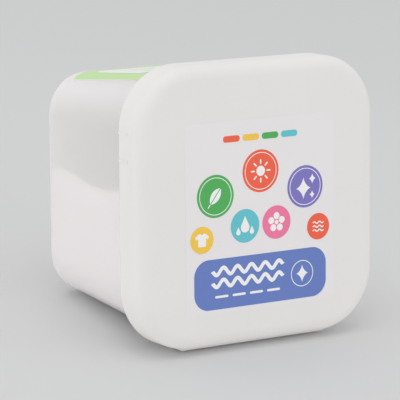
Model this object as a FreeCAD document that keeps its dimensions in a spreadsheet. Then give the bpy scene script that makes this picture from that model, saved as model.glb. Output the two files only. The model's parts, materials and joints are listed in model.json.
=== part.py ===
"""Washing powder box: a square translucent tub with a press-on lid, lying on one side.

Each piece is drawn upright, in millimetres: the tub's base at height zero, the lid on top, the
print's upper edge towards +Y. The box then lies on its -Y side, on the lid's pull lip and on the
base's edge, with the lid facing -Y.
"""
import FreeCAD, Part
import math
import os

import Sketcher

SIZES = [
    # The tub
    ("base_width", 122.8, "tub: outside width of the base, before its edge is rounded"),
    ("base_corner_radius", 23.2, "tub: upright corners at the base"),
    ("side_draft", 4.79, "tub: lean of the sides, in degrees"),
    ("tub_height", 116.0, "tub: base to the top of the rim"),
    ("tub_wall", 1.2, "tub: side wall"),
    ("floor_thickness", 1.5, "tub: floor"),
    ("base_edge_round", 3.0, "tub: round between the base and the sides"),
    ("floor_edge_round", 2.0, "tub: the same round inside"),
    ("rim_overhang", 1.7, "tub: rim beyond the wall's outside"),
    ("rim_corner_radius", 31.2, "tub: the rim's own corners"),
    ("rim_thickness", 3.0, "tub: height of the rim"),
    ("rim_edge_round", 1.2, "tub: rounded upper edge of the rim"),
    ("groove_inset", 9.0, "tub: base groove from the base's sides"),
    ("groove_width", 1.6, "tub: base groove"),
    ("groove_depth", 0.5, "tub: base groove"),
    # The lid
    ("lid_side_gap", 0.9, "lid: skirt's inside to the rim"),
    ("lid_seat_gap", 0.3, "lid: inner round to the rim's rounded edge"),
    ("lid_wall", 1.3, "lid: wall of face and skirt"),
    ("lid_edge_round", 7.0, "lid: round between the face and the skirt"),
    ("lid_depth", 19.5, "lid: face to the skirt's lower edge"),
    ("plug_depth", 6.0, "lid: sealing plug below the rim's top"),
    ("plug_wall", 1.2, "lid: sealing plug"),
    ("plug_clearance", 0.4, "lid: plug to the tub's inside at the plug's end"),
    ("snap_clearance", 0.35, "lid: snap ridge to the rim"),
    ("snap_drop", 0.5, "lid: snap ridge below the rim"),
    ("snap_height", 1.4, "lid: height of the snap ridge"),
    ("lip_width", 93.0, "lid: pull lip, side to side"),
    ("lip_reach", 1.2, "lid: pull lip beyond the skirt"),
    ("lip_drop", 7.5, "lid: face to the pull lip"),
    ("lip_end_round", 2.0, "lid: rounded ends of the pull lip"),
    ("lip_edge_round", 0.8, "lid: rounded front edge of the pull lip"),
    ("rib_length", 8.5, "lid: grip ribs, up from the skirt's lower edge"),
    ("rib_width", 1.2, "lid: grip ribs"),
    ("rib_reach", 0.35, "lid: grip ribs beyond the skirt"),
    ("rib_lower_place", 26.7, "lid: lower grip rib from the middle"),
    ("rib_upper_place", 41.3, "lid: upper grip rib from the middle"),
    # The powder
    ("powder_clearance", 0.1, "powder: to the tub's inside"),
    ("powder_plug_gap", 1.5, "powder: to the lid's plug"),
    ("powder_edge_round", 2.2, "powder: round along the floor"),
    ("powder_crown", 1.6, "powder: middle above the sides"),
    ("powder_rear_level", 6.0, "powder: level at the floor, above the tub's middle"),
    ("powder_crest_level", 11.4, "powder: level of the crest near the floor"),
    ("powder_dip_level", 6.9, "powder: level of the dip"),
    ("powder_front_level", 9.2, "powder: level near the mouth"),
    ("powder_crest_place", 16.0, "powder: floor to the crest"),
    ("powder_slope_place", 36.0, "powder: floor to the middle of the slope"),
    ("powder_dip_place", 58.0, "powder: floor to the dip"),
    ("powder_rise_place", 84.0, "powder: floor to the middle of the rise behind the mouth"),
    # The film on the lid and its print
    ("film_width", 94.0, "lid film: side to side"),
    ("film_length", 102.0, "lid film: top to bottom"),
    ("film_corner_radius", 4.0, "lid film: corners"),
    ("film_drop", 6.0, "lid film: middle below the lid's middle"),
    ("film_thickness", 0.1, "lid film"),
    ("ink_thickness", 0.08, "print"),
    ("large_disc_radius", 11.4, "print: large discs"),
    ("middle_disc_radius", 9.0, "print: middle discs"),
    ("small_disc_radius", 7.2, "print: small discs"),
    ("outer_disc_place", 28.5, "print: large side discs from the middle"),
    ("outer_disc_level", 6.0, "print: large side discs above the middle"),
    ("top_disc_level", 17.0, "print: large top disc above the middle"),
    ("inner_disc_place", 10.0, "print: middle discs from the middle"),
    ("inner_disc_drop", 11.5, "print: middle discs below the middle"),
    ("side_disc_place", 37.0, "print: small discs from the middle"),
    ("side_disc_drop", 16.5, "print: small discs below the middle"),
    ("band_width", 84.0, "print: blue band, side to side"),
    ("band_length", 27.0, "print: blue band, top to bottom"),
    ("band_corner_radius", 9.0, "print: blue band's corners"),
    ("band_drop", 41.0, "print: blue band's middle below the lid's middle"),
    ("bar_width", 10.4, "print: short bars"),
    ("bar_length", 3.4, "print: short bars, top to bottom"),
    ("bar_corner_radius", 1.6, "print: short bars' corners"),
    ("bar_pitch", 12.2, "print: from bar to bar"),
    ("bar_level", 35.5, "print: short bars above the lid's middle"),
    # The side label
    ("label_thickness", 0.15, "side label"),
    ("label_clearance", 0.04, "side label: to the tub's wall"),
    ("label_width", 103.0, "side label: side to side"),
    ("label_length", 73.0, "side label: top to bottom"),
    ("label_corner_radius", 4.0, "side label: corners"),
    ("label_rise", 10.2, "side label: base to its lower edge"),
    ("panel_width", 87.0, "side label: white panel, side to side"),
    ("panel_length", 49.0, "side label: white panel, top to bottom"),
    ("panel_rise", 22.7, "side label: base to the panel's lower edge"),
]

# In millimetres: how far from its level an edge may be read, and the least volume a cut or joint changes
LEVEL_TOLERANCE = 0.01
LEAST_CHANGE = 1e-6

# What follows from the sizes above
LEAN = "tan(Sizes.side_draft)"
MOUTH_WIDTH = f"(Sizes.base_width + 2 * Sizes.tub_height * {LEAN})"
RIM_WIDTH = f"({MOUTH_WIDTH} + 2 * Sizes.rim_overhang)"
LID_INSIDE_WIDTH = f"({RIM_WIDTH} + 2 * Sizes.lid_side_gap)"
LID_INSIDE_RADIUS = "(Sizes.rim_corner_radius + Sizes.lid_side_gap)"
LID_WIDTH = f"({LID_INSIDE_WIDTH} + 2 * Sizes.lid_wall)"
LID_RADIUS = f"({LID_INSIDE_RADIUS} + Sizes.lid_wall)"
LID_INSIDE_ROUND = "(Sizes.lid_edge_round - Sizes.lid_wall)"
# The rim's rounded edge rests in the lid's inner round: two circles, the seat gap apart
SEAT_SPAN = f"({LID_INSIDE_ROUND} - Sizes.rim_edge_round - Sizes.lid_seat_gap)"
SEAT_ACROSS = f"({LID_INSIDE_ROUND} - Sizes.rim_edge_round - Sizes.lid_side_gap)"
SEAT_RISE = f"sqrt({SEAT_SPAN} * {SEAT_SPAN} - {SEAT_ACROSS} * {SEAT_ACROSS})"
LID_INSIDE_TOP = f"(Sizes.tub_height - Sizes.rim_edge_round - {SEAT_RISE} + {LID_INSIDE_ROUND})"
LID_TOP = f"({LID_INSIDE_TOP} + Sizes.lid_wall)"
LID_BOTTOM = f"({LID_TOP} - Sizes.lid_depth)"
PLUG_END = "(Sizes.tub_height - Sizes.plug_depth)"
SNAP_TOP = "(Sizes.tub_height - Sizes.rim_thickness - Sizes.snap_drop)"
POWDER_FLOOR = "(Sizes.floor_thickness + Sizes.powder_clearance)"
POWDER_FRONT = f"({PLUG_END} - Sizes.powder_plug_gap)"
FILM_TOP = f"({LID_TOP} + Sizes.film_thickness)"
LABEL_INSIDE = "Sizes.label_clearance"
LABEL_OUTSIDE = f"({LABEL_INSIDE} + Sizes.label_thickness)"
PANEL_INSIDE = f"({LABEL_OUTSIDE} + Sizes.label_clearance)"
PANEL_OUTSIDE = f"({PANEL_INSIDE} + Sizes.label_thickness)"


def tub_width(height):
    """Outside width of the tub's tapering wall at a height."""
    return f"(Sizes.base_width + 2 * {height} * {LEAN})"


def tub_radius(height):
    """Corner radius of the tub's tapering wall at a height."""
    return f"(Sizes.base_corner_radius + {height} * {LEAN})"


doc = FreeCAD.newDocument("WashingPowderBox")
sheet = doc.addObject("Spreadsheet::Sheet", "Sizes")
for row, (alias, amount, note) in enumerate(SIZES, start=1):
    sheet.set(f"A{row}", note)
    sheet.set(f"B{row}", str(amount))
    sheet.setAlias(f"B{row}", alias)
doc.recompute()


def value(expression):
    """The number that an expression on the sheet gives."""
    return float(sheet.evalExpression(expression))


def new_body(label):
    """An empty body with the piece's name."""
    body = doc.addObject("PartDesign::Body", label)
    body.Label = label
    return body


def origin_plane(body, role):
    """One of the body's own origin planes."""
    return next(feature for feature in body.Origin.OriginFeatures if feature.Role == role)


def new_sketch(body, name, height, shift_x="0", shift_y="0"):
    """A sketch parallel to the base at a height, its centre shifted sideways."""
    sketch = body.newObject("Sketcher::SketchObject", name)
    sketch.AttachmentSupport = [(origin_plane(body, "XY_Plane"), "")]
    sketch.MapMode = "FlatFace"
    sketch.setExpression("AttachmentOffset.Base.x", shift_x)
    sketch.setExpression("AttachmentOffset.Base.y", shift_y)
    sketch.setExpression("AttachmentOffset.Base.z", height)
    return sketch


def add_rounded_rectangle(sketch, width, length, radius):
    """A rectangle with rounded corners about the sketch's centre."""
    across = value(width) / 2
    along = value(length) / 2
    corner = value(radius)
    first = sketch.GeometryCount
    middles = [(across - corner, along - corner), (corner - across, along - corner),
               (corner - across, corner - along), (across - corner, corner - along)]
    for quarter, (x, y) in enumerate(middles):
        circle = Part.Circle(FreeCAD.Vector(x, y, 0), FreeCAD.Vector(0, 0, 1), corner)
        start = quarter * math.pi / 2
        sketch.addGeometry(Part.ArcOfCircle(circle, start, start + math.pi / 2), False)
    for quarter in range(4):
        start = sketch.getPoint(first + quarter, 2)
        end = sketch.getPoint(first + (quarter + 1) % 4, 1)
        sketch.addGeometry(Part.LineSegment(start, end), False)
    for quarter in range(4):
        arc = first + quarter
        line = first + 4 + quarter
        following = first + (quarter + 1) % 4
        sketch.addConstraint(Sketcher.Constraint("Tangent", arc, 2, line, 1))
        sketch.addConstraint(Sketcher.Constraint("Tangent", line, 2, following, 1))
        direction = "Horizontal" if quarter % 2 == 0 else "Vertical"
        sketch.addConstraint(Sketcher.Constraint(direction, line))
        if quarter:
            sketch.addConstraint(Sketcher.Constraint("Equal", first, arc))
    sketch.addConstraint(Sketcher.Constraint("Symmetric", first, 3, first + 2, 3, -1, 1))
    sizes = [("Radius", (first, corner), radius),
             ("DistanceX", (first + 1, 2, first, 1, 2 * across), width),
             ("DistanceY", (first + 3, 1, first, 2, 2 * along), length)]
    for kind, arguments, expression in sizes:
        index = sketch.addConstraint(Sketcher.Constraint(kind, *arguments))
        sketch.setExpression(f"Constraints[{index}]", expression)


def rounded_square(body, name, height, width, radius):
    """A sketch of a rounded square at a height."""
    sketch = new_sketch(body, name, height)
    add_rounded_rectangle(sketch, width, width, radius)
    return sketch


def pad(body, sketch, name, length, down=False, draft="0"):
    """Material from a sketch, upwards or down, that widens by the draft in degrees."""
    feature = body.newObject("PartDesign::Pad", name)
    feature.Profile = sketch
    feature.setExpression("Length", length)
    feature.setExpression("TaperAngle", draft)
    feature.Reversed = down
    doc.recompute()
    return feature


def pocket(body, sketch, name, length, up=False, draft="0"):
    """Material taken away from a sketch, down or upwards; it has to remove something."""
    before = body.Shape.Volume
    feature = body.newObject("PartDesign::Pocket", name)
    feature.Profile = sketch
    feature.setExpression("Length", length)
    feature.setExpression("TaperAngle", draft)
    feature.Reversed = up
    doc.recompute()
    if body.Shape.Volume > before - LEAST_CHANGE:
        raise RuntimeError(f"{body.Label}: {name} removes nothing")
    return feature


def level_edges(shape, height):
    """Names of the edges that lie at a height."""
    names = []
    for number, edge in enumerate(shape.Edges, start=1):
        box = edge.BoundBox
        if abs(box.ZMin - height) < LEVEL_TOLERANCE and abs(box.ZMax - height) < LEVEL_TOLERANCE:
            names.append(f"Edge{number}")
    return names


def round_edges(body, name, height, radius):
    """Round the edges of the body's tip that lie at a height."""
    tip = body.Tip
    names = level_edges(tip.Shape, value(height))
    if not names:
        raise RuntimeError(f"{body.Label}: {name} finds no edge")
    feature = body.newObject("PartDesign::Fillet", name)
    feature.Base = (tip, names)
    feature.setExpression("Radius", radius)
    doc.recompute()
    if "Invalid" in feature.State or feature.Shape.isNull():
        raise RuntimeError(f"{body.Label}: {name} can't be rounded")
    return feature


def combine(body, name, tool, kind):
    """Another body joined to this one (Fuse) or taken away from it (Cut); it has to change something."""
    before = body.Shape.Volume
    feature = body.newObject("PartDesign::Boolean", name)
    feature.Type = kind
    feature.setObjects([tool])
    doc.recompute()
    if abs(body.Shape.Volume - before) < LEAST_CHANGE:
        raise RuntimeError(f"{body.Label}: {name} changes nothing")
    return feature


def make_tub():
    """The tub: tapering sides, a rounded base with a groove, and a rim that turns outwards."""
    body = new_body("tub")
    outside = rounded_square(body, "OutsideOutline", "0", "Sizes.base_width", "Sizes.base_corner_radius")
    pad(body, outside, "Outside", "Sizes.tub_height", draft="Sizes.side_draft")
    round_edges(body, "BaseEdge", "0", "Sizes.base_edge_round")

    rim = rounded_square(body, "RimOutline", "Sizes.tub_height", RIM_WIDTH, "Sizes.rim_corner_radius")
    pad(body, rim, "Rim", "Sizes.rim_thickness", down=True)
    round_edges(body, "RimEdge", "Sizes.tub_height", "Sizes.rim_edge_round")

    mouth = rounded_square(body, "MouthOutline", "Sizes.tub_height", f"({MOUTH_WIDTH} - 2 * Sizes.tub_wall)",
                           f"({tub_radius('Sizes.tub_height')} - Sizes.tub_wall)")
    pocket(body, mouth, "Inside", "Sizes.tub_height - Sizes.floor_thickness", draft="-Sizes.side_draft")
    round_edges(body, "FloorEdge", "Sizes.floor_thickness", "Sizes.floor_edge_round")

    groove = new_sketch(body, "GrooveOutline", "0")
    for inset in ("Sizes.groove_inset", "(Sizes.groove_inset + Sizes.groove_width)"):
        width = f"(Sizes.base_width - 2 * {inset})"
        add_rounded_rectangle(groove, width, width, f"(Sizes.base_corner_radius - {inset})")
    pocket(body, groove, "Groove", "Sizes.groove_depth", up=True)
    return body


def make_powder():
    """The powder: it fills the lower side of the tub, and its top is a low uneven slope."""
    filling = new_body("PowderFilling")
    margin = "(Sizes.tub_wall + Sizes.powder_clearance)"
    outline = rounded_square(filling, "Outline", POWDER_FLOOR, f"({tub_width(POWDER_FLOOR)} - 2 * {margin})",
                             f"({tub_radius(POWDER_FLOOR)} - {margin})")
    pad(filling, outline, "Filling", f"{POWDER_FRONT} - {POWDER_FLOOR}", draft="Sizes.side_draft")
    round_edges(filling, "FillingEdge", POWDER_FLOOR, "Sizes.powder_edge_round")

    below = doc.addObject("Part::Feature", "BelowTheSlope")
    below.Shape = slope_surface().extrude(FreeCAD.Vector(0, -value(LID_WIDTH), 0))
    piece = doc.addObject("Part::Common", "powder")
    piece.Base = filling
    piece.Tool = below
    piece.Label = "powder"
    doc.recompute()
    return piece


def slope_surface():
    """The powder's top: a smooth surface through its levels, a little higher in the middle."""
    bottom = value(POWDER_FLOOR)
    front = value(POWDER_FRONT)
    beyond = value("Sizes.base_width") / 4
    rear_level = value("Sizes.powder_rear_level")
    crest_level = value("Sizes.powder_crest_level")
    dip_level = value("Sizes.powder_dip_level")
    front_level = value("Sizes.powder_front_level")
    stations = [
        (bottom - beyond, rear_level),
        (bottom, rear_level),
        (bottom + value("Sizes.powder_crest_place"), crest_level),
        (bottom + value("Sizes.powder_slope_place"), (crest_level + dip_level) / 2),
        (bottom + value("Sizes.powder_dip_place"), dip_level),
        (bottom + value("Sizes.powder_rise_place"), (dip_level + front_level) / 2),
        (front, front_level),
        (front + beyond, front_level),
    ]
    crown = value("Sizes.powder_crown")
    reach = value(LID_WIDTH) / 2
    half_rows = 2
    grid = []
    for row in range(-half_rows, half_rows + 1):
        share = row / half_rows
        grid.append([FreeCAD.Vector(share * reach, level + crown * (1 - share * share), height)
                     for height, level in stations])
    surface = Part.BSplineSurface()
    surface.interpolate(grid)
    return surface.toShape()


def make_lid():
    """The lid: a rounded face and skirt, a plug, a snap ridge, a pull lip and four grip ribs."""
    body = new_body("lid")
    outline = rounded_square(body, "Outline", LID_BOTTOM, LID_WIDTH, LID_RADIUS)
    pad(body, outline, "Block", "Sizes.lid_depth")
    round_edges(body, "FaceEdge", LID_TOP, "Sizes.lid_edge_round")

    lip = new_body("PullLip")
    lip_length = "(Sizes.lid_edge_round + Sizes.lip_reach)"
    lip_shift = f"-{LID_WIDTH} / 2 - Sizes.lip_reach + {lip_length} / 2"
    lip_outline = new_sketch(lip, "LipOutline", LID_BOTTOM, shift_y=lip_shift)
    add_rounded_rectangle(lip_outline, "Sizes.lip_width", lip_length, "Sizes.lip_end_round")
    pad(lip, lip_outline, "LipBlock", "Sizes.lid_depth - Sizes.lip_drop")
    round_edges(lip, "LipEdge", f"{LID_TOP} - Sizes.lip_drop", "Sizes.lip_edge_round")
    combine(body, "Lip", lip, "Fuse")

    ribs = new_sketch(body, "RibOutline", LID_BOTTOM)
    rib_span = f"({LID_WIDTH} + 2 * Sizes.rib_reach)"
    for place in ("Sizes.rib_lower_place", "Sizes.rib_upper_place"):
        add_bar(ribs, rib_span, "Sizes.rib_width", place)
    pad(body, ribs, "Ribs", "Sizes.rib_length")

    hollow = new_body("LidHollow")
    inside = rounded_square(hollow, "InsideOutline", LID_BOTTOM, LID_INSIDE_WIDTH, LID_INSIDE_RADIUS)
    pad(hollow, inside, "Hollow", "Sizes.lid_depth - Sizes.lid_wall")
    round_edges(hollow, "HollowEdge", LID_INSIDE_TOP, LID_INSIDE_ROUND)
    combine(body, "Inside", hollow, "Cut")

    plug = new_sketch(body, "PlugOutline", PLUG_END)
    plug_width = f"({tub_width(PLUG_END)} - 2 * Sizes.tub_wall - 2 * Sizes.plug_clearance)"
    plug_radius = f"({tub_radius(PLUG_END)} - Sizes.tub_wall - Sizes.plug_clearance)"
    add_rounded_rectangle(plug, plug_width, plug_width, plug_radius)
    hollow_width = f"({plug_width} - 2 * Sizes.plug_wall)"
    add_rounded_rectangle(plug, hollow_width, hollow_width, f"({plug_radius} - Sizes.plug_wall)")
    pad(body, plug, "Plug", f"{LID_INSIDE_TOP} + Sizes.lid_wall / 2 - {PLUG_END}")

    ridge = new_sketch(body, "RidgeOutline", SNAP_TOP)
    ridge_width = f"({LID_INSIDE_WIDTH} + Sizes.lid_wall)"
    ridge_radius = f"({LID_INSIDE_RADIUS} + Sizes.lid_wall / 2)"
    add_rounded_rectangle(ridge, ridge_width, ridge_width, ridge_radius)
    gate_width = f"({RIM_WIDTH} + 2 * Sizes.snap_clearance)"
    add_rounded_rectangle(ridge, gate_width, gate_width, "(Sizes.rim_corner_radius + Sizes.snap_clearance)")
    pad(body, ridge, "SnapRidge", "Sizes.snap_height", down=True)
    return body


def add_bar(sketch, length, width, place):
    """A rectangle across the whole lid, at a distance above the middle."""
    half = value(length) / 2
    low = value(place) - value(width) / 2
    high = low + value(width)
    corners = [FreeCAD.Vector(*point) for point in
               ((-half, low, 0), (half, low, 0), (half, high, 0), (-half, high, 0))]
    first = sketch.GeometryCount
    for number in range(4):
        sketch.addGeometry(Part.LineSegment(corners[number], corners[(number + 1) % 4]), False)
    for number in range(4):
        following = first + (number + 1) % 4
        sketch.addConstraint(Sketcher.Constraint("Coincident", first + number, 2, following, 1))
    sketch.addConstraint(Sketcher.Constraint("Symmetric", first, 1, first, 2, -2))
    for number, direction in ((1, "Vertical"), (2, "Horizontal"), (3, "Vertical")):
        sketch.addConstraint(Sketcher.Constraint(direction, first + number))
    sizes = [("DistanceX", (first, 1, first, 2, 2 * half), length),
             ("DistanceY", (first, 2, first + 1, 2, high - low), width),
             ("DistanceY", (-1, 1, first, 1, low), f"{place} - {width} / 2")]
    for kind, arguments, expression in sizes:
        index = sketch.addConstraint(Sketcher.Constraint(kind, *arguments))
        sketch.setExpression(f"Constraints[{index}]", expression)


def make_film():
    """The clear film on the lid's face."""
    body = new_body("lid_film")
    outline = new_sketch(body, "Outline", LID_TOP, shift_y="-Sizes.film_drop")
    add_rounded_rectangle(outline, "Sizes.film_width", "Sizes.film_length", "Sizes.film_corner_radius")
    pad(body, outline, "Film", "Sizes.film_thickness")
    return body


def add_disc(sketch, radius, place, level):
    """A circle in the lid's print."""
    centre = FreeCAD.Vector(value(place), value(level), 0)
    index = sketch.addGeometry(Part.Circle(centre, FreeCAD.Vector(0, 0, 1), value(radius)), False)
    sizes = [("Radius", (index, value(radius)), radius)]
    if abs(centre.x) > 0:
        sizes.append(("DistanceX", (-1, 1, index, 3, centre.x), place))
    else:
        sketch.addConstraint(Sketcher.Constraint("PointOnObject", index, 3, -2))
    sizes.append(("DistanceY", (-1, 1, index, 3, centre.y), level))
    for kind, arguments, expression in sizes:
        number = sketch.addConstraint(Sketcher.Constraint(kind, *arguments))
        sketch.setExpression(f"Constraints[{number}]", expression)


def make_print(colour, discs, bar_place):
    """The fields of one colour on the lid's film: discs, and a short bar in the top row."""
    body = new_body(f"print_{colour}")
    if discs:
        sketch = new_sketch(body, "Discs", FILM_TOP)
        for radius, place, level in discs:
            add_disc(sketch, radius, place, level)
        pad(body, sketch, "DiscInk", "Sizes.ink_thickness")
    if bar_place is not None:
        bar = new_sketch(body, "Bar", FILM_TOP, f"{bar_place} * Sizes.bar_pitch", "Sizes.bar_level")
        add_rounded_rectangle(bar, "Sizes.bar_width", "Sizes.bar_length", "Sizes.bar_corner_radius")
        pad(body, bar, "BarInk", "Sizes.ink_thickness")
    return body


def make_band():
    """The blue band at the foot of the print."""
    body = new_body("print_blue")
    outline = new_sketch(body, "Outline", FILM_TOP, shift_y="-Sizes.band_drop")
    add_rounded_rectangle(outline, "Sizes.band_width", "Sizes.band_length", "Sizes.band_corner_radius")
    pad(body, outline, "BandInk", "Sizes.ink_thickness")
    return body


def make_skin(label, inner_offset, outer_offset, width, length, rise):
    """A piece of film that follows the tub's upper side between two offsets from its wall."""
    body = new_body(label)
    outline = new_sketch(body, "Outline", "0")
    for offset in (outer_offset, inner_offset):
        around_wall = f"(Sizes.base_width + 2 * {offset})"
        add_rounded_rectangle(outline, around_wall, around_wall, f"(Sizes.base_corner_radius + {offset})")
    pad(body, outline, "Skin", "Sizes.tub_height", draft="Sizes.side_draft")
    window = body.newObject("Sketcher::SketchObject", "Window")
    window.AttachmentSupport = [(origin_plane(body, "XZ_Plane"), "")]
    window.MapMode = "FlatFace"
    window.setExpression("AttachmentOffset.Base.y", f"{rise} + {length} / 2")
    add_rounded_rectangle(window, width, length, "Sizes.label_corner_radius")
    around = f"(4 * {LID_WIDTH})"
    add_rounded_rectangle(window, around, around, LID_WIDTH)
    trim = body.newObject("PartDesign::Pocket", "Trim")
    trim.Profile = window
    trim.Midplane = True
    trim.setExpression("Length", around)
    doc.recompute()
    other_half = new_sketch(body, "OtherHalf", "2 * Sizes.tub_height", shift_y=f"-{LID_WIDTH}")
    whole = f"(2 * {LID_WIDTH})"
    add_rounded_rectangle(other_half, whole, whole, "Sizes.label_corner_radius")
    pocket(body, other_half, "UpperSideOnly", "3 * Sizes.tub_height")
    return body


def lying_placement():
    """The box laid on its side: a line touches the pull lip's rear edge and the base's round."""
    lid_top = value(LID_TOP)
    # Distance behind the lid's face, and height above the axis: the lip's edge and the base's round
    lip = (value("Sizes.lid_depth"), -value(f"{LID_WIDTH} / 2 + Sizes.lip_reach"))
    taper = value(LEAN)
    base_radius = value("Sizes.base_edge_round")
    side = value("Sizes.base_width / 2") + base_radius * taper
    base = (lid_top - base_radius, base_radius * math.hypot(1, taper) - side)
    run = base[0] - lip[0]
    climb = base[1] - lip[1]
    tilt = math.atan2(climb, run) - math.asin(base_radius / math.hypot(run, climb))

    lying = FreeCAD.Rotation(FreeCAD.Vector(1, 0, 0), 90 - math.degrees(tilt))
    lowest = lying.multVec(FreeCAD.Vector(0, lip[1], lid_top - lip[0])).z
    # The box's length over the ground is centred on the origin
    face_radius = value("Sizes.lid_edge_round")
    front = lying.multVec(FreeCAD.Vector(0, face_radius - value(f"{LID_WIDTH} / 2"), lid_top - face_radius))
    rear = lying.multVec(FreeCAD.Vector(0, -base[1], base_radius))
    middle = (front.y - face_radius + rear.y + base_radius) / 2
    return FreeCAD.Placement(FreeCAD.Vector(0, -middle, -lowest), lying)


LARGE = "Sizes.large_disc_radius"
MIDDLE = "Sizes.middle_disc_radius"
SMALL = "Sizes.small_disc_radius"
PRINT = [
    ("orange", [(LARGE, "0", "Sizes.top_disc_level"),
                (SMALL, "Sizes.side_disc_place", "-Sizes.side_disc_drop")], -1.5),
    ("yellow", [(SMALL, "-Sizes.side_disc_place", "-Sizes.side_disc_drop")], -0.5),
    ("green", [(LARGE, "-Sizes.outer_disc_place", "Sizes.outer_disc_level")], 0.5),
    ("cyan", [(MIDDLE, "-Sizes.inner_disc_place", "-Sizes.inner_disc_drop")], 1.5),
    ("violet", [(LARGE, "Sizes.outer_disc_place", "Sizes.outer_disc_level")], None),
    ("pink", [(MIDDLE, "Sizes.inner_disc_place", "-Sizes.inner_disc_drop")], None),
]

pieces = [make_tub(), make_powder(), make_lid(), make_film(), make_band()]
pieces += [make_print(colour, discs, bar_place) for colour, discs, bar_place in PRINT]
pieces.append(make_skin("side_label", LABEL_INSIDE, LABEL_OUTSIDE,
                        "Sizes.label_width", "Sizes.label_length", "Sizes.label_rise"))
pieces.append(make_skin("side_label_panel", PANEL_INSIDE, PANEL_OUTSIDE,
                        "Sizes.panel_width", "Sizes.panel_length", "Sizes.panel_rise"))

placement = lying_placement()
for piece in pieces:
    piece.Placement = placement
doc.recompute()

for item in doc.Objects:
    if "Invalid" in item.State or "Error" in item.State:
        raise RuntimeError(f"{item.Label} failed: {item.State}")
for piece in pieces:
    if piece.Shape.isNull() or not piece.Shape.isValid():
        raise RuntimeError(f"{piece.Label} has no valid shape")

os.makedirs("parts", exist_ok=True)
for piece in pieces:
    piece.Shape.exportStep(f"parts/{piece.Label}.step")
    box = piece.Shape.optimalBoundingBox()
    print(f"{piece.Label}: {len(piece.Shape.Solids)} solid(s), {piece.Shape.Volume / 1000:.2f} cm3, "
          f"x {box.XMin:.1f} to {box.XMax:.1f}, y {box.YMin:.1f} to {box.YMax:.1f}, "
          f"z {box.ZMin:.1f} to {box.ZMax:.1f}")
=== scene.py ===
"""Looks of the washing powder box: plastics, powder, film and print, studio and camera.

Everything is in metres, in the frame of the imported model. Places on the box are given in the box's
own directions: across, upwards along the print, and outwards through the lid.
"""

import json
import math
import random

import bmesh
import bpy
from mathutils import Euler, Matrix, Vector, noise

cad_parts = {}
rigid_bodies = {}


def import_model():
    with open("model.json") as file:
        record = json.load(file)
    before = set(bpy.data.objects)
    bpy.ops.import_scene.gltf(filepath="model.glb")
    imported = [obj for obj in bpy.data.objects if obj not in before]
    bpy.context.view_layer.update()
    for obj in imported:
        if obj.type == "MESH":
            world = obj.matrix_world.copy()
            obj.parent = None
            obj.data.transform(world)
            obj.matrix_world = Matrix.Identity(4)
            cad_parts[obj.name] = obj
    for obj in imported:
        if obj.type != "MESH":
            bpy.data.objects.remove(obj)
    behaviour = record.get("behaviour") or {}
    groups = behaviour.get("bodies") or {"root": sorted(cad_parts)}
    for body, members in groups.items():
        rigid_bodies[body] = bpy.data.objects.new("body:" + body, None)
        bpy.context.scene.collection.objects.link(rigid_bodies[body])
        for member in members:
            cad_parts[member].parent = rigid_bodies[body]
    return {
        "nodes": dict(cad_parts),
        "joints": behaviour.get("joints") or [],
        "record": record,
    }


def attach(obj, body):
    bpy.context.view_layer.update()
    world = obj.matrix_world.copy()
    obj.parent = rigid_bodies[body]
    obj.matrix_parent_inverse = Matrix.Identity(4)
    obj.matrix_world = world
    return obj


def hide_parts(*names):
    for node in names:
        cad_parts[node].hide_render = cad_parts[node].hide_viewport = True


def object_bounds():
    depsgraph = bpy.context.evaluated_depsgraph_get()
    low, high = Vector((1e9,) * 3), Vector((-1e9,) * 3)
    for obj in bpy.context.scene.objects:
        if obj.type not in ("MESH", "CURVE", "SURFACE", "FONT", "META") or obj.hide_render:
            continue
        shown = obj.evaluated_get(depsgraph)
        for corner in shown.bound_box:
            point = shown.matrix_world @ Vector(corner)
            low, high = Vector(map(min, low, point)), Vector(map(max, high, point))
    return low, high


bl_info = {
    "name": "Washing powder box",
    "version": (1, 0, 0),
    "blender": (4, 5, 0),
    "location": "3D View > Sidebar > Powder box",
    "description": "Finishes and small pieces of a washing powder box, with its studio",
    "category": "Object",
}

for leftover in list(bpy.data.objects):
    bpy.data.objects.remove(leftover)

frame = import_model()
CAD_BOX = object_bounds()
NODES = frame["nodes"]

MM = 0.001
ACROSS = Vector((1, 0, 0))
OUTWARDS = Vector(frame["joints"][0]["axis"]).normalized()
UPWARDS = OUTWARDS.cross(ACROSS)
BASE = Vector(frame["record"]["mounts"][0]["pos_m"])
# A place in the tub's room, from which its inner faces are told from its outer ones
TUB_MIDDLE = BASE + OUTWARDS * 70 * MM


def box_matrix(origin, across=ACROSS, upwards=UPWARDS, outwards=OUTWARDS):
    """From a flat drawing to the model: its x goes across, its y upwards, its z outwards."""
    turned = Matrix((across, upwards, outwards)).transposed().to_4x4()
    return Matrix.Translation(origin) @ turned


def span(points, direction):
    """Lowest and highest place of some points in a direction, from the base's middle."""
    places = [(point - BASE).dot(direction) for point in points]
    return min(places), max(places)


def print_fields(node):
    """Middle and half width of each separate field of a print colour, widest first."""
    bm = bmesh.new()
    bm.from_mesh(NODES[node].data)
    bmesh.ops.remove_doubles(bm, verts=bm.verts, dist=0.01 * MM)
    waiting = set(bm.verts)
    found = []
    while waiting:
        island = {waiting.pop()}
        edge_of_island = list(island)
        while edge_of_island:
            vertex = edge_of_island.pop()
            new = {edge.other_vert(vertex) for edge in vertex.link_edges} - island
            island |= new
            edge_of_island += new
        waiting -= island
        points = [vertex.co for vertex in island]
        left, right = span(points, ACROSS)
        low, high = span(points, UPWARDS)
        top = span(points, OUTWARDS)[1]
        middle = BASE + ACROSS * (left + right) / 2 + UPWARDS * (low + high) / 2 + OUTWARDS * top
        found.append((middle, (right - left) / 2))
    bm.free()
    return sorted(found, key=lambda field: -field[1])


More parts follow.
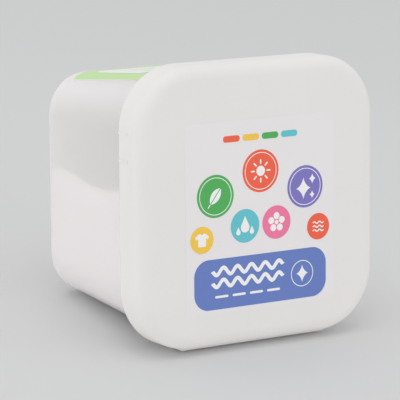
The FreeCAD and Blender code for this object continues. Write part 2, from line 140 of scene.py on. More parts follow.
def flat_face(node, direction):
    """Middle of a node's largest face that looks in a direction, and which way it faces."""
    data = NODES[node].data
    facing = [face for face in data.polygons if face.normal.dot(direction) > 0.9]
    largest = max(facing, key=lambda face: face.area)
    normal = largest.normal.copy()
    height = (largest.center - BASE).dot(normal)
    level = [data.vertices[index].co for face in facing for index in face.vertices
             if abs((face.center - BASE).dot(normal) - height) < 0.02 * MM]
    along = normal.cross(ACROSS)
    left, right = span(level, ACROSS)
    low, high = span(level, along)
    middle = BASE + ACROSS * (left + right) / 2 + along * (low + high) / 2 + normal * height
    return middle, normal


# Places of the Mix node's colours among its sockets, which share their names with other kinds
MIX_FIRST_COLOUR = 6
MIX_SECOND_COLOUR = 7
MIXED_COLOUR = 2


class Wire:
    """A socket that gives a value: an expression on wires adds the Math nodes that work it out."""

    def __init__(self, finish, socket):
        self.finish = finish
        self.socket = socket

    def __add__(self, other):
        return self.finish.math("ADD", self, other)

    def __rsub__(self, other):
        return self.finish.math("SUBTRACT", other, self)

    def __mul__(self, other):
        return self.finish.math("MULTIPLY", self, other)

    __rmul__ = __mul__


class Finish:
    """A material, and the one way in which its nodes are made."""

    def __init__(self, name):
        self.material = bpy.data.materials.new(name)
        self.material.use_nodes = True
        self.tree = self.material.node_tree
        self.tree.nodes.clear()
        self.place = self.node("ShaderNodeTexCoord", output="Object")

    def node(self, kind, settings=None, inputs=None, output=0):
        """The output of a new node, given its settings and its sockets' values or wires."""
        made = self.tree.nodes.new(kind)
        for name, setting in (settings or {}).items():
            setattr(made, name, setting)
        for name, given in (inputs or {}).items():
            if isinstance(given, Wire):
                self.tree.links.new(given.socket, made.inputs[name])
            else:
                made.inputs[name].default_value = given
        return Wire(self, made.outputs[output])

    def noise(self, scale, detail=2.0, roughness=0.5):
        """Smooth noise from 0 to 1, with a scale in lumps for each metre."""
        return self.node("ShaderNodeTexNoise", None, {
            "Vector": self.place, "Scale": scale, "Detail": detail, "Roughness": roughness})

    def steeper(self, value, low, high):
        """0 below a low value, 1 above a high one, and a straight climb between them."""
        made = self.tree.nodes.new("ShaderNodeValToRGB")
        made.color_ramp.elements[0].position = low
        made.color_ramp.elements[1].position = high
        self.tree.links.new(value.socket, made.inputs["Fac"])
        return Wire(self, made.outputs["Color"])

    def blend(self, share, first, second):
        """A colour between two others."""
        return self.node("ShaderNodeMix", {"data_type": "RGBA"}, {
            "Factor": share, MIX_FIRST_COLOUR: first, MIX_SECOND_COLOUR: second},
            output=MIXED_COLOUR)

    def mottle(self, share, colour, darkest, lightest):
        """A colour that varies between a darker and a lighter shade of itself."""
        return self.blend(share, shade(colour, darkest), shade(colour, lightest))

    def bump(self, height, strength, distance, below=None):
        """A normal that follows a height, on top of another bump where one is given."""
        inputs = {"Height": height, "Strength": strength, "Distance": distance}
        if below is not None:
            inputs["Normal"] = below
        return self.node("ShaderNodeBump", None, inputs)

    def dot(self, first, second):
        """The dot product of two vectors."""
        return self.node("ShaderNodeVectorMath", {"operation": "DOT_PRODUCT"}, {
            0: first, 1: second}, output="Value")

    def facing(self, direction):
        """1 where the surface looks along a direction, and 0 elsewhere."""
        normal = self.node("ShaderNodeNewGeometry", output="True Normal")
        return self.math("GREATER_THAN", self.dot(normal, tuple(direction)), 0.0)

    def turned_away(self, middle):
        """1 on faces whose outer side looks away from a middle, and 0 on those that enclose it."""
        hit_side = self.node("ShaderNodeNewGeometry", output="True Normal")
        from_inside = self.node("ShaderNodeNewGeometry", output="Backfacing")
        away = self.node("ShaderNodeVectorMath", {"operation": "SUBTRACT"}, {
            0: self.place, 1: tuple(middle)})
        # Blender turns the normal to the side that is hit, and this turns it back
        return self.math("GREATER_THAN", self.dot(hit_side, away) * (1 - 2 * from_inside), 0.0)

    def rounding(self):
        """About 0 on the box's flat sides, 1 midway round its edges, and more at its corners."""
        normal = self.node("ShaderNodeNewGeometry", output="Normal")
        # Fourth powers of the normal's parts add up to 1 on a flat side, and to 0.5 midway round
        flatness = 0.0
        for direction in (ACROSS, UPWARDS, OUTWARDS):
            along = self.dot(normal, tuple(direction))
            square = along * along
            flatness = square * square + flatness
        return 2.0 - flatness * 2.0

    def math(self, operation, first, second):
        """A Math node on two numbers or wires."""
        return self.node("ShaderNodeMath", {"operation": operation}, {0: first, 1: second})

    def mix_shaders(self, share, first, second):
        """A share of the second shader over the first."""
        return self.node("ShaderNodeMixShader", None, {0: share, 1: first, 2: second})

    def principled(self, **inputs):
        """The principled shader, with names such as Base_Color for its sockets."""
        named = {name.replace("_", " "): given for name, given in inputs.items()}
        return self.node("ShaderNodeBsdfPrincipled", None, named, output="BSDF")

    def shown(self, shader):
        """The finished material, which shows a shader."""
        output = self.tree.nodes.new("ShaderNodeOutputMaterial")
        self.tree.links.new(shader.socket, output.inputs["Surface"])
        return self.material

    def surface(self, **inputs):
        """The finished material, with a principled shader alone."""
        return self.shown(self.principled(**inputs))


def shade(colour, amount):
    """A colour made lighter or darker, as four numbers."""
    return (*[min(1.0, channel * amount) for channel in colour], 1.0)


def lid_plastic(look):
    """Opaque white plastic with a satin skin and the faint unevenness of a large moulding."""
    finish = Finish("lid_plastic")
    cloud = finish.noise(scale=22, detail=3)
    colour = finish.mottle(cloud, look.lid_colour, darkest=0.975, lightest=1.02)
    grain = finish.noise(scale=2600)
    swell = finish.noise(scale=34, detail=1)
    normal = finish.bump(swell, strength=0.25, distance=1.2 * MM)
    normal = finish.bump(grain, strength=0.12, distance=0.06 * MM, below=normal)
    return finish.surface(
        Base_Color=colour, Roughness=cloud * 0.12 + 0.44, Normal=normal, Specular_IOR_Level=0.34)


def tub_plastic(look):
    """Milky plastic: the powder that touches the wall shows through it as a paler field."""
    finish = Finish("tub_plastic")
    cloud = finish.noise(scale=16)
    colour = finish.mottle(cloud, look.tub_colour, darkest=0.985, lightest=1.01)
    swell = finish.noise(scale=28, detail=1)
    grain = finish.noise(scale=1800)
    normal = finish.bump(swell, strength=0.2, distance=1 * MM)
    normal = finish.bump(grain, strength=0.08, distance=0.05 * MM, below=normal)
    skin = finish.principled(
        Base_Color=colour, Roughness=cloud * 0.08 + look.tub_roughness, Normal=normal,
        Specular_IOR_Level=0.4)
    soaked = finish.node("ShaderNodeBsdfTranslucent", None, {
        "Color": shade(look.tub_colour, 1.0), "Normal": normal})
    clear = finish.node("ShaderNodeBsdfTransparent")
    # Painted highlight: every rounding is made paler than the flat walls, standing in for light that
    # catches them
    skin_and_highlight_share = finish.rounding() * look.painted_rounding_highlight + look.tub_skin
    outer_face = finish.mix_shaders(skin_and_highlight_share, clear, skin)
    # The inner face spreads the light that soaks through, so the powder's edge shows clearly
    inner_face = finish.mix_shaders(look.tub_milkiness, skin, soaked)
    outside = finish.turned_away(TUB_MIDDLE)
    return finish.shown(finish.mix_shaders(outside, inner_face, outer_face))


def powder_finish(look):
    """Loose white powder: matt, grainy, a little uneven in tone."""
    finish = Finish("powder")
    cloud = finish.noise(scale=60, detail=4)
    grains = finish.noise(scale=1500, detail=3, roughness=0.7)
    tone = finish.steeper(grains, low=0.3, high=0.7)
    colour = finish.mottle(tone, look.powder_colour, darkest=0.9, lightest=1.03)
    normal = finish.bump(cloud, strength=0.4, distance=0.8 * MM)
    normal = finish.bump(grains, strength=0.7, distance=0.4 * MM, below=normal)
    return finish.surface(
        Base_Color=colour, Roughness=0.95, Normal=normal, Specular_IOR_Level=0.2)


def clear_film(look):
    """Clear film on the white lid: it shows the lid's own white, under a softer gloss."""
    finish = Finish("clear_film")
    cloud = finish.noise(scale=22, detail=3)
    colour = finish.mottle(cloud, look.film_colour, darkest=0.985, lightest=1.02)
    swell = finish.noise(scale=34, detail=1)
    normal = finish.bump(swell, strength=0.2, distance=1.2 * MM)
    return finish.surface(
        Base_Color=colour, Roughness=cloud * 0.1 + 0.3, Normal=normal, Specular_IOR_Level=0.42)


def ink(name, colour):
    """Printed film: an even field of ink, with a faint mottle and a soft gloss."""
    finish = Finish(name)
    specks = finish.noise(scale=420, detail=3)
    cloud = finish.noise(scale=45)
    tone = finish.mottle(specks * 0.5 + cloud * 0.5, colour, darkest=0.93, lightest=1.07)
    normal = finish.bump(specks, strength=0.05, distance=0.05 * MM)
    return finish.surface(
        Base_Color=tone, Roughness=cloud * 0.1 + 0.32, Normal=normal, Coat_Weight=0.15)


def label_finish(look, outwards):
    """Green label film, printed on its outer side and white behind."""
    finish = Finish("label_green")
    specks = finish.noise(scale=420, detail=3)
    cloud = finish.noise(scale=45)
    green = finish.mottle(
        specks * 0.5 + cloud * 0.5, look.label_green, darkest=0.94, lightest=1.06)
    colour = finish.blend(finish.facing(outwards), shade(look.white_ink, 1.0), green)
    normal = finish.bump(specks, strength=0.05, distance=0.05 * MM)
    return finish.surface(Base_Color=colour, Roughness=cloud * 0.1 + 0.34, Normal=normal)


def floor_finish(look):
    """Pale studio paper; what it sends back to the object is that of white paper."""
    finish = Finish("floor")
    cloud = finish.noise(scale=3)
    seen = finish.mottle(cloud, look.floor_colour, darkest=0.985, lightest=1.01)
    to_camera = finish.node("ShaderNodeLightPath", output="Is Camera Ray")
    to_gloss = finish.node("ShaderNodeLightPath", output="Is Glossy Ray")
    to_glass = finish.node("ShaderNodeLightPath", output="Is Transmission Ray")
    scattered = finish.node("ShaderNodeLightPath", output="Is Diffuse Ray")
    # Rays that a milky wall scatters count as transmitted too, and they meet the white paper
    looked_at = to_camera + (to_gloss + to_glass) * (1 - scattered)
    colour = finish.blend(looked_at, shade(look.floor_bounce, 1.0), seen)
    return finish.surface(Base_Color=colour, Roughness=0.9, Specular_IOR_Level=0.1)


def dress(node, material):
    """Give a node of the model its finish."""
    slots = NODES[node].data.materials
    slots.clear()
    slots.append(material)


def add_piece(name, bm, material, body):
    """A finished mesh as a piece that moves with a body."""
    bmesh.ops.recalc_face_normals(bm, faces=bm.faces)
    data = bpy.data.meshes.new(name)
    bm.to_mesh(data)
    bm.free()
    data.materials.append(material)
    piece = bpy.data.objects.new(name, data)
    bpy.context.scene.collection.objects.link(piece)
    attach(piece, body)


def add_disc(bm, x, y, radius):
    """A flat disc."""
    bmesh.ops.create_circle(bm, cap_ends=True, radius=radius, segments=40,
                            matrix=Matrix.Translation((x, y, 0)))


def add_ring(bm, x, y, radius, width):
    """A flat ring, given by its outer radius."""
    loops = []
    for size in (radius, radius - width):
        made = bmesh.ops.create_circle(bm, radius=size, segments=64,
                                       matrix=Matrix.Translation((x, y, 0)))
        loops += list({edge for vertex in made["verts"] for edge in vertex.link_edges})
    bmesh.ops.bridge_loops(bm, edges=loops)


def add_bar(bm, x, y, length, width, turn=0.0):
    """A flat bar with round ends, about its middle."""
    made = bmesh.ops.create_circle(bm, cap_ends=True, radius=width / 2, segments=20)
    for vertex in made["verts"]:
        vertex.co.x += math.copysign((length - width) / 2, vertex.co.x)
    bmesh.ops.transform(bm, verts=made["verts"],
                        matrix=Matrix.Translation((x, y, 0)) @ Matrix.Rotation(turn, 4, "Z"))


def add_outline(bm, points, place=Matrix.Identity(4)):
    """A flat face inside an outline."""
    bm.faces.new([bm.verts.new(place @ Vector((x, y, 0))) for x, y in points])


COLUMNS_PER_WAVE = 20
ROUND_END_COLUMNS = 5


def add_wave(bm, x, y, length, width, height, waves):
    """A flat wavy line of one width with round ends, about its middle."""
    columns = COLUMNS_PER_WAVE * waves
    made = bmesh.ops.create_grid(bm, x_segments=columns, y_segments=1, size=1)
    for vertex in made["verts"]:
        column = round((vertex.co.x + 1) / 2 * columns)
        from_end = min(column, columns - column)
        turn = math.pi / 2 * min(from_end, ROUND_END_COLUMNS) / ROUND_END_COLUMNS
        half_width = vertex.co.y * width / 2 * math.sin(turn)
        reach = (length - width) / 2
        run = max(0, from_end - ROUND_END_COLUMNS) / (columns / 2 - ROUND_END_COLUMNS) * reach
        along = reach - run + width / 2 * math.cos(turn)
        side = math.copysign(1, vertex.co.x)
        phase = side * (reach - run) * math.pi * waves / reach
        slope = height / 2 * math.pi * waves / reach * math.cos(phase)
        middle = Vector((x + side * along, y + height / 2 * math.sin(phase), 0))
        vertex.co = middle + half_width * Vector((-slope, 1, 0)).normalized()
    bmesh.ops.remove_doubles(bm, verts=made["verts"], dist=0.001 * MM)


def draw_sun(bm, size):
    """A disc with eight short rays."""
    add_disc(bm, 0, 0, 0.42 * size)
    for ray in range(8):
        turn = ray * math.pi / 4
        x = 0.76 * size * math.cos(turn)
        y = 0.76 * size * math.sin(turn)
        add_bar(bm, x, y, 0.4 * size, 0.13 * size, turn)


def draw_leaf(bm, size, x=0.0, y=0.0):
    """A leaf in two halves, one each side of a thin vein, with a stalk."""
    half_angle = math.radians(52)
    radius = size / math.sin(half_angle)
    vein = 0.05 * size
    lean = math.radians(38)
    steps = 24
    tilt = Matrix.Translation((x, y, 0)) @ Matrix.Rotation(-lean, 4, "Z")
    for side in (-1, 1):
        points = []
        for step in range(steps + 1):
            angle = -half_angle + 2 * half_angle * step / steps
            bulge = radius * (math.cos(angle) - math.cos(half_angle))
            points.append((side * (vein + bulge), radius * math.sin(angle)))
        add_outline(bm, points, tilt)
    stalk = tilt @ Vector((0, -1.27 * size, 0))
    add_bar(bm, stalk.x, stalk.y, 0.5 * size, 0.12 * size, math.pi / 2 - lean)


def draw_sparkle(bm, size, x=0.0, y=0.0):
    """A star with four points and hollow sides."""
    points = []
    steps = 48
    for step in range(steps):
        angle = math.tau * step / steps
        points.append((x + 0.8 * size * math.cos(angle) ** 3, y + size * math.sin(angle) ** 3))
    add_outline(bm, points)


def draw_sparkles(bm, size):
    """One large star and two small ones."""
    draw_sparkle(bm, 0.8 * size, -0.15 * size, -0.12 * size)
    draw_sparkle(bm, 0.38 * size, 0.62 * size, 0.52 * size)
    draw_sparkle(bm, 0.3 * size, 0.6 * size, -0.62 * size)


def draw_drop(bm, size, x=0.0, y=0.0):
    """A water drop, point upwards."""
    points = [(x, y + size)]
    radius = 0.6 * size
    steps = 28
    for step in range(steps + 1):
        angle = math.radians(150 + 240 * step / steps)
        points.append((x + radius * math.cos(angle), y - 0.35 * size + radius * math.sin(angle)))
    add_outline(bm, points)


def draw_drops(bm, size):
    """A large drop between two small ones."""
    draw_drop(bm, 0.72 * size, 0, 0.12 * size)
    for side in (-1, 1):
        draw_drop(bm, 0.36 * size, side * 0.68 * size, -0.4 * size)


def draw_flower(bm, size):
    """Five petals about a middle."""
    add_disc(bm, 0, 0, 0.2 * size)
    place = 0.58 * size
    for petal in range(5):
        angle = math.radians(90 + 72 * petal)
        add_disc(bm, place * math.cos(angle), place * math.sin(angle), 0.31 * size)


def draw_shirt(bm, size):
    """A short-sleeved shirt."""
    half = [(0.0, 0.62), (0.28, 0.8), (0.5, 0.76), (1.0, 0.36), (0.78, 0.06), (0.55, 0.22),
            (0.55, -0.8)]
    points = [(x * size, y * size) for x, y in half]
    points += [(-x * size, y * size) for x, y in reversed(half[1:])]
    add_outline(bm, points)


def draw_ripples(bm, size):
    """Three short wavy lines, one above another."""
    for row in (-1, 0, 1):
        add_wave(bm, 0, row * 0.5 * size, length=1.7 * size, width=0.16 * size,
                 height=0.22 * size, waves=2)


def draw_band(bm, size):
    """Two long wavy lines over a row of short bars, and a star in a ring beside them."""
    for row in (0, 1):
        add_wave(bm, -0.22 * size, (0.01 + 0.17 * row) * size, length=1.22 * size,
                 width=0.055 * size, height=0.1 * size, waves=5)
    for step in range(4):
        add_bar(bm, (-0.66 + 0.29 * step) * size, -0.18 * size, 0.22 * size, 0.035 * size)
    add_ring(bm, 0.7 * size, 0, 0.19 * size, 0.012 * size)
    draw_sparkle(bm, 0.13 * size, 0.7 * size, 0)


def flat_to_piece(bm, thickness, place):
    """Give flat shapes their thickness and put them in their place."""
    bmesh.ops.recalc_face_normals(bm, faces=bm.faces)
    raised = bmesh.ops.extrude_face_region(bm, geom=list(bm.faces))
    top = [item for item in raised["geom"] if isinstance(item, bmesh.types.BMVert)]
    bmesh.ops.translate(bm, verts=top, vec=(0, 0, thickness))
    bmesh.ops.transform(bm, verts=bm.verts, matrix=place)


class BoxLook(bpy.types.PropertyGroup):
    """Colours and sizes of the box's finishes and small pieces."""
    lid_colour: bpy.props.FloatVectorProperty(
        name="Lid", description="Colour of the lid's plastic", subtype="COLOR", size=3,
        min=0, max=1, default=(0.80, 0.782, 0.773))
    film_colour: bpy.props.FloatVectorProperty(
        name="Film", description="Colour of the lid as it shows through its clear film",
        subtype="COLOR", size=3, min=0, max=1, default=(0.80, 0.782, 0.79))
    tub_colour: bpy.props.FloatVectorProperty(
        name="Tub", description="Colour of the tub's plastic", subtype="COLOR", size=3,
        min=0, max=1, default=(0.97, 0.955, 0.957))
    tub_milkiness: bpy.props.FloatProperty(
        name="Tub milkiness", description="Share of the light that soaks through an inner face",
        subtype="FACTOR", min=0, max=1, default=0.85)
    tub_skin: bpy.props.FloatProperty(
        name="Tub skin", description="Share of the light that the outer face of a wall sends back",
        subtype="FACTOR", min=0, max=1, default=0.4)
    # Painted highlight: this share makes the tub's roundings paler than its flat walls
    painted_rounding_highlight: bpy.props.FloatProperty(
        name="Corner skin", description="What the roundings of the tub send back beyond that",
        subtype="FACTOR", min=0, max=1, default=0.2)
    tub_roughness: bpy.props.FloatProperty(
        name="Tub roughness", description="How much the tub's wall scatters light",
        subtype="FACTOR", min=0, max=1, default=0.34)
    powder_colour: bpy.props.FloatVectorProperty(
        name="Powder", description="Colour of the powder", subtype="COLOR", size=3,
        min=0, max=1, default=(0.96, 0.95, 0.955))
    white_ink: bpy.props.FloatVectorProperty(
        name="White ink", description="Colour of the print's white motifs", subtype="COLOR",
        size=3, min=0, max=1, default=(0.88, 0.88, 0.88))
    label_green: bpy.props.FloatVectorProperty(
        name="Label green", description="Colour of the side label", subtype="COLOR", size=3,
        min=0, max=1, default=(0.50, 0.73, 0.33))
    ink_thickness: bpy.props.FloatProperty(
        name="Ink thickness", description="Height of the white motifs above the colours",
        subtype="DISTANCE", unit="LENGTH", min=0, max=0.001, default=0.04 * MM)
    ring_width: bpy.props.FloatProperty(
        name="Ring width", description="Width of the thin rings on the large discs",
        subtype="DISTANCE", unit="LENGTH", min=0, max=0.002, default=0.4 * MM)
    ejector_place: bpy.props.FloatProperty(
        name="Ejector place", description="Marks of the ejectors in the lid, from its middle",
        subtype="DISTANCE", unit="LENGTH", min=0, max=0.06, default=40 * MM)
    ejector_radius: bpy.props.FloatProperty(
        name="Ejector radius", description="Radius of the ejectors' marks",
        subtype="DISTANCE", unit="LENGTH", min=0.001, max=0.01, default=4 * MM)
    powder_voxel: bpy.props.FloatProperty(
        name="Powder mesh", description="Spacing of the powder's mesh", subtype="DISTANCE",
        unit="LENGTH", min=0.0005, max=0.01, default=1.7 * MM)
    powder_lumps: bpy.props.FloatProperty(
        name="Powder lumps", description="Depth of the hollows in the powder's open surface",
        subtype="DISTANCE", unit="LENGTH", min=0, max=0.005, default=0.9 * MM)
    crumbs: bpy.props.IntProperty(
        name="Crumbs", description="Number of crumbs that lie on the powder", min=0, max=5000,
        default=900)


class StudioLook(bpy.types.PropertyGroup):
    """Floor, lamps and camera."""
    floor_colour: bpy.props.FloatVectorProperty(
        name="Floor", description="Colour of the floor", subtype="COLOR", size=3,
        min=0, max=1, default=(0.66, 0.665, 0.67))
    floor_bounce: bpy.props.FloatVectorProperty(
        name="Floor bounce", description="Colour that the floor sends back to the object",
        subtype="COLOR", size=3, min=0, max=1, default=(0.92, 0.92, 0.92))
    floor_width: bpy.props.FloatProperty(
        name="Floor width", description="Side of the floor", subtype="DISTANCE", unit="LENGTH",
        min=1, max=50, default=12.0)
    sky_strength: bpy.props.FloatProperty(
        name="Sky", description="Light from all round", min=0, max=5, default=0.80)
    top_watts: bpy.props.FloatProperty(
        name="Top lamp", description="Power of the lamp overhead", subtype="POWER", min=0, max=500,
        default=4.5)
    side_watts: bpy.props.FloatProperty(
        name="Side lamp", description="Power of the lamp at the left", subtype="POWER", min=0,
        max=500, default=1.4)
    front_watts: bpy.props.FloatProperty(
        name="Front lamp", description="Power of the lamp before the lid", subtype="POWER", min=0,
        max=500, default=1.8)
    light_bounces: bpy.props.IntProperty(
        name="Light bounces", description="How often light may be scattered on its way",
        min=1, max=32, default=8)
    camera_place: bpy.props.FloatVectorProperty(
        name="Camera place", description="Where the camera stands", subtype="TRANSLATION",
        unit="LENGTH", size=3, default=(-0.75605, -1.14361, 0.47324))
    camera_turn: bpy.props.FloatVectorProperty(
        name="Camera turn", description="How the camera is turned", subtype="EULER",
        unit="ROTATION", size=3,
        default=(math.radians(73.279), math.radians(-4.103), math.radians(-32.245)))
    camera_lens: bpy.props.FloatProperty(
        name="Lens", description="Focal length for a 36 mm sensor, in millimetres", min=10,
        max=1000, default=234.77)


# Colours of the print's fields
INKS = {
    "blue": (0.12, 0.2, 0.535),
    "orange": (0.87, 0.11, 0.046),
    "yellow": (0.9, 0.57, 0.06),
    "green": (0.064, 0.42, 0.086),
    "cyan": (0.113, 0.54, 0.617),
    "violet": (0.195, 0.169, 0.52),
    "pink": (0.855, 0.18, 0.35),
}


class POWDERBOX_OT_plastics(bpy.types.Operator):
    """Give the tub and the lid their plastics"""
    bl_idname = "powderbox.plastics"
    bl_label = "Plastics"

    def execute(self, context):
        look = context.scene.box_look
        dress("tub", tub_plastic(look))
        dress("lid", lid_plastic(look))
        return {"FINISHED"}


CRUMB_SEED = 7
LARGEST_CRUMB = 1.1 * MM


def scatter_crumbs(bed, count):
    """Small crumbs that lie part sunk on the powder's open faces."""
    chance = random.Random(CRUMB_SEED)
    faces = [face for face in bed.data.polygons
             if face.normal.dot(UPWARDS) > 0.8 or face.normal.dot(OUTWARDS) > 0.9]
    bm = bmesh.new()
    for _ in range(count):
        face = chance.choice(faces)
        size = chance.uniform(0.35, 1.0) ** 2 * LARGEST_CRUMB
        turn = Euler([chance.uniform(0, math.tau) for _ in range(3)]).to_matrix().to_4x4()
        squash = Matrix.Diagonal((1, chance.uniform(0.6, 1), chance.uniform(0.6, 1), 1))
        place = Matrix.Translation(face.center - face.normal * size * 0.3)
        bmesh.ops.create_icosphere(bm, subdivisions=1, radius=size, matrix=place @ turn @ squash)
    return bm


# Lumps of the powder's open surface, in lumps for each metre, and the share of the large ones
LARGE_LUMPS = 95
SMALL_LUMPS = 310
LARGE_LUMPS_SHARE = 0.6
POWDER_WALL_GAP = 0.12 * MM


def powder_bed(look):
    """The powder's solid as a fine mesh: lumpy where it is open, smooth against the walls."""
    solid = NODES["powder"]
    data = solid.data.copy()
    bed = bpy.data.objects.new("powder_bed", data)
    bpy.context.scene.collection.objects.link(bed)
    weld = bed.modifiers.new("Weld", "WELD")
    weld.merge_threshold = 0.01 * MM
    remesh = bed.modifiers.new("Remesh", "REMESH")
    remesh.mode = "VOXEL"
    remesh.voxel_size = look.powder_voxel
    remesh.use_smooth_shade = True
    graph = bpy.context.evaluated_depsgraph_get()
    fine = bpy.data.meshes.new_from_object(bed.evaluated_get(graph))
    bed.modifiers.clear()
    bed.data = fine
    bpy.data.meshes.remove(data)
    places = []
    for vertex in fine.vertices:
        normal = vertex.normal
        openness = max(0.0, normal.dot(UPWARDS), normal.dot(OUTWARDS)) ** 3
        large = LARGE_LUMPS_SHARE * noise.noise(vertex.co * LARGE_LUMPS)
        small = (1 - LARGE_LUMPS_SHARE) * noise.noise(vertex.co * SMALL_LUMPS)
        hollow = openness * look.powder_lumps * (0.5 + large + small)
        places.append(vertex.co - normal * (POWDER_WALL_GAP + max(hollow, 0.0)))
    for vertex, place in zip(fine.vertices, places):
        vertex.co = place
    fine.update()
    return bed


class POWDERBOX_OT_powder(bpy.types.Operator):
    """Make the powder's lumpy bed and the crumbs on it"""
    bl_idname = "powderbox.powder"
    bl_label = "Powder"

    def execute(self, context):
        look = context.scene.box_look
        material = powder_finish(look)
        bed = powder_bed(look)
        bed.data.materials.clear()
        bed.data.materials.append(material)
        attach(bed, "tub")
        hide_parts("powder")
        crumbs = scatter_crumbs(bed, look.crumbs)
        add_piece("powder_crumbs", crumbs, material, "tub")
        return {"FINISHED"}


# Print node, which of its fields by width, drawing, and the sizes of the drawing and of its ring
# as shares of the field's, with 0 for no ring
MOTIFS = [
    ("print_orange", 0, draw_sun, 0.57, 0.88),
    ("print_green", 0, draw_leaf, 0.44, 0.88),
    ("print_violet", 0, draw_sparkles, 0.66, 0.88),
    ("print_cyan", 0, draw_drops, 0.7, 0),
    ("print_pink", 0, draw_flower, 0.67, 0),
    ("print_yellow", 0, draw_shirt, 0.61, 0),
    ("print_orange", 1, draw_ripples, 0.6, 0),
    ("print_blue", 0, draw_band, 0.9, 0),
]


class POWDERBOX_OT_print(bpy.types.Operator):
    """Ink the print's fields, and draw the white motifs on them"""
    bl_idname = "powderbox.print"
    bl_label = "Print"

    def execute(self, context):
        look = context.scene.box_look
        dress("lid_film", clear_film(look))
        for colour, tone in INKS.items():
            dress(f"print_{colour}", ink(f"ink_{colour}", tone))
        white = ink("ink_white", look.white_ink)
        for node, which, draw, share, ring in MOTIFS:
            middle, half_width = print_fields(node)[which]
            bm = bmesh.new()
            draw(bm, share * half_width)
            if ring:
                add_ring(bm, 0, 0, ring * half_width, look.ring_width)
            flat_to_piece(bm, look.ink_thickness, box_matrix(middle))
            add_piece(draw.__name__.replace("draw", "motif"), bm, white, "lid")
        return {"FINISHED"}


# Green drawing on the label's white panel: plain rules at the right, and marks at the left
LABEL_RULES = 6
LABEL_TOP_ROW = 14 * MM
RULE_PLACE = 9 * MM
RULE_PITCH = 5.6 * MM
RULE_LENGTH = 56 * MM
SHORT_RULE_CUT = 9 * MM
RULE_WIDTH = 0.9 * MM
LABEL_MARK_SIZE = 3.6 * MM
LABEL_MARK_PLACE = -33 * MM


class POWDERBOX_OT_label(bpy.types.Operator):
    """Print the side label: its green field, its pale panel and the green drawing on that"""
    bl_idname = "powderbox.label"
    bl_label = "Side label"

    def execute(self, context):
        look = context.scene.box_look
        middle, normal = flat_face("side_label_panel", UPWARDS)
        green = label_finish(look, normal)
        white = ink("label_white", look.white_ink)
        dress("side_label", green)
        dress("side_label_panel", white)
        # Read with the lid upwards, as on a standing tub
        towards_lid = normal.cross(ACROSS)
        towards_lid *= math.copysign(1, towards_lid.dot(OUTWARDS))
        bm = bmesh.new()
        for row in range(LABEL_RULES):
            length = RULE_LENGTH - SHORT_RULE_CUT * (row % 2)
            add_bar(bm, RULE_PLACE, LABEL_TOP_ROW - RULE_PITCH * row, length, RULE_WIDTH)
        for row, draw in enumerate([draw_drop, draw_leaf, draw_sparkle]):
            draw(bm, LABEL_MARK_SIZE, LABEL_MARK_PLACE, LABEL_TOP_ROW * (1 - row))
        place = box_matrix(middle, towards_lid.cross(normal), towards_lid, normal)
        flat_to_piece(bm, look.ink_thickness, place)
        add_piece("label_marks", bm, green, "tub")
        return {"FINISHED"}


EJECTOR_MARK_WIDTH = 0.35 * MM
EJECTOR_MARK_HEIGHT = 0.15 * MM
GATE_MARK_RADIUS = 1.5 * MM
GATE_MARK_TOP_RADIUS = 0.8 * MM
GATE_MARK_HEIGHT = 0.4 * MM


class POWDERBOX_OT_moulding(bpy.types.Operator):
    """Raise the small marks that moulding leaves: the gate on the base, the ejectors in the lid"""
    bl_idname = "powderbox.moulding"
    bl_label = "Moulding marks"

    def execute(self, context):
        look = context.scene.box_look
        lid = NODES["lid"].data
        inner_faces = [face for face in lid.polygons if face.normal.dot(OUTWARDS) < -0.99]
        level = max((face.center - BASE).dot(OUTWARDS) for face in inner_faces)
        bm = bmesh.new()
        for x in (-look.ejector_place, look.ejector_place):
            for y in (-look.ejector_place, look.ejector_place):
                add_ring(bm, x, y, look.ejector_radius, EJECTOR_MARK_WIDTH)
        place = box_matrix(BASE + OUTWARDS * level, -ACROSS, UPWARDS, -OUTWARDS)
        flat_to_piece(bm, EJECTOR_MARK_HEIGHT, place)
        add_piece("lid_ejector_marks", bm, lid.materials[0], "lid")

        bm = bmesh.new()
        bmesh.ops.create_cone(
            bm, cap_ends=True, segments=32, radius1=GATE_MARK_RADIUS,
            radius2=GATE_MARK_TOP_RADIUS, depth=GATE_MARK_HEIGHT,
            matrix=Matrix.Translation((0, 0, GATE_MARK_HEIGHT / 2)))
        place = box_matrix(BASE, -ACROSS, UPWARDS, -OUTWARDS)
        bmesh.ops.transform(bm, verts=bm.verts, matrix=place)
        add_piece("tub_gate_mark", bm, NODES["tub"].data.materials[0], "tub")
        return {"FINISHED"}


SENSOR_MM = 36
# The side lamp lights the tub's lowest part, so it is aimed at this height
LOW_TARGET = 20 * MM


def add_lamp(name, watts, place, width, height, target):
    """A soft rectangular lamp that faces a target."""
    data = bpy.data.lights.new(name, "AREA")
    data.shape = "RECTANGLE"
    data.size = width
    data.size_y = height
    data.energy = watts
    lamp = bpy.data.objects.new(name, data)
    lamp.location = place
    lamp.rotation_euler = (Vector(target) - lamp.location).to_track_quat("-Z", "Y").to_euler()
    bpy.context.scene.collection.objects.link(lamp)


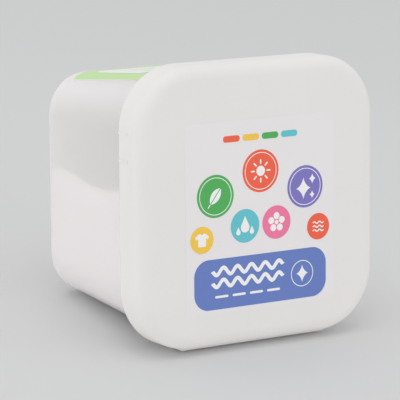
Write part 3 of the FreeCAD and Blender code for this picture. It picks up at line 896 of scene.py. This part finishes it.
class POWDERBOX_OT_studio(bpy.types.Operator):
    """Set the floor, the lamps, the sky and the camera"""
    bl_idname = "powderbox.studio"
    bl_label = "Studio"

    def execute(self, context):
        look = context.scene.studio_look
        scene = context.scene
        bm = bmesh.new()
        bmesh.ops.create_grid(bm, x_segments=1, y_segments=1, size=look.floor_width / 2)
        data = bpy.data.meshes.new("floor")
        bm.to_mesh(data)
        bm.free()
        data.materials.append(floor_finish(look))
        floor = bpy.data.objects.new("floor", data)
        scene.collection.objects.link(floor)

        middle = (0, 0, (CAD_BOX[0].z + CAD_BOX[1].z) / 2)
        add_lamp("top", look.top_watts, place=(-0.2, -0.1, 1.5), width=1.2, height=1.2,
                 target=middle)
        add_lamp("side", look.side_watts, place=(-1.1, 0.3, 0.06), width=0.9, height=0.1,
                 target=(0, 0, LOW_TARGET))
        add_lamp("front", look.front_watts, place=(0.3, -1.7, 0.6), width=1.0, height=1.0,
                 target=middle)

        world = bpy.data.worlds.new("sky")
        world.use_nodes = True
        sky = world.node_tree.nodes["Background"]
        sky.inputs["Color"].default_value = (1, 1, 1, 1)
        sky.inputs["Strength"].default_value = look.sky_strength
        scene.world = world

        lens = bpy.data.cameras.new("camera")
        lens.sensor_width = SENSOR_MM
        lens.lens = look.camera_lens
        camera = bpy.data.objects.new("camera", lens)
        camera.location = look.camera_place
        camera.rotation_euler = look.camera_turn
        scene.collection.objects.link(camera)
        scene.camera = camera
        scene.view_settings.view_transform = "Standard"
        scene.cycles.diffuse_bounces = look.light_bounces
        return {"FINISHED"}


class POWDERBOX_PT_panel(bpy.types.Panel):
    """Lists the box's operators, colours and sizes"""
    bl_label = "Powder box"
    bl_idname = "POWDERBOX_PT_panel"
    bl_space_type = "VIEW_3D"
    bl_region_type = "UI"
    bl_category = "Powder box"

    def draw(self, context):
        for operator in OPERATORS:
            self.layout.operator(operator.bl_idname)
        for look in (context.scene.box_look, context.scene.studio_look):
            for name in look.__annotations__:
                self.layout.prop(look, name)


OPERATORS = [
    POWDERBOX_OT_plastics,
    POWDERBOX_OT_powder,
    POWDERBOX_OT_print,
    POWDERBOX_OT_label,
    POWDERBOX_OT_moulding,
    POWDERBOX_OT_studio,
]
CLASSES = [BoxLook, StudioLook, *OPERATORS, POWDERBOX_PT_panel]


def register():
    """Make the box's properties, operators and panel known to Blender."""
    for kind in CLASSES:
        bpy.utils.register_class(kind)
    bpy.types.Scene.box_look = bpy.props.PointerProperty(type=BoxLook)
    bpy.types.Scene.studio_look = bpy.props.PointerProperty(type=StudioLook)


def unregister():
    """Take them away again."""
    del bpy.types.Scene.studio_look
    del bpy.types.Scene.box_look
    for kind in reversed(CLASSES):
        bpy.utils.unregister_class(kind)


def main():
    """Dress the box and set the studio."""
    register()
    bpy.ops.powderbox.plastics()
    bpy.ops.powderbox.powder()
    bpy.ops.powderbox.print()
    bpy.ops.powderbox.label()
    bpy.ops.powderbox.moulding()
    bpy.ops.powderbox.studio()


if __name__ == "__main__":
    main()
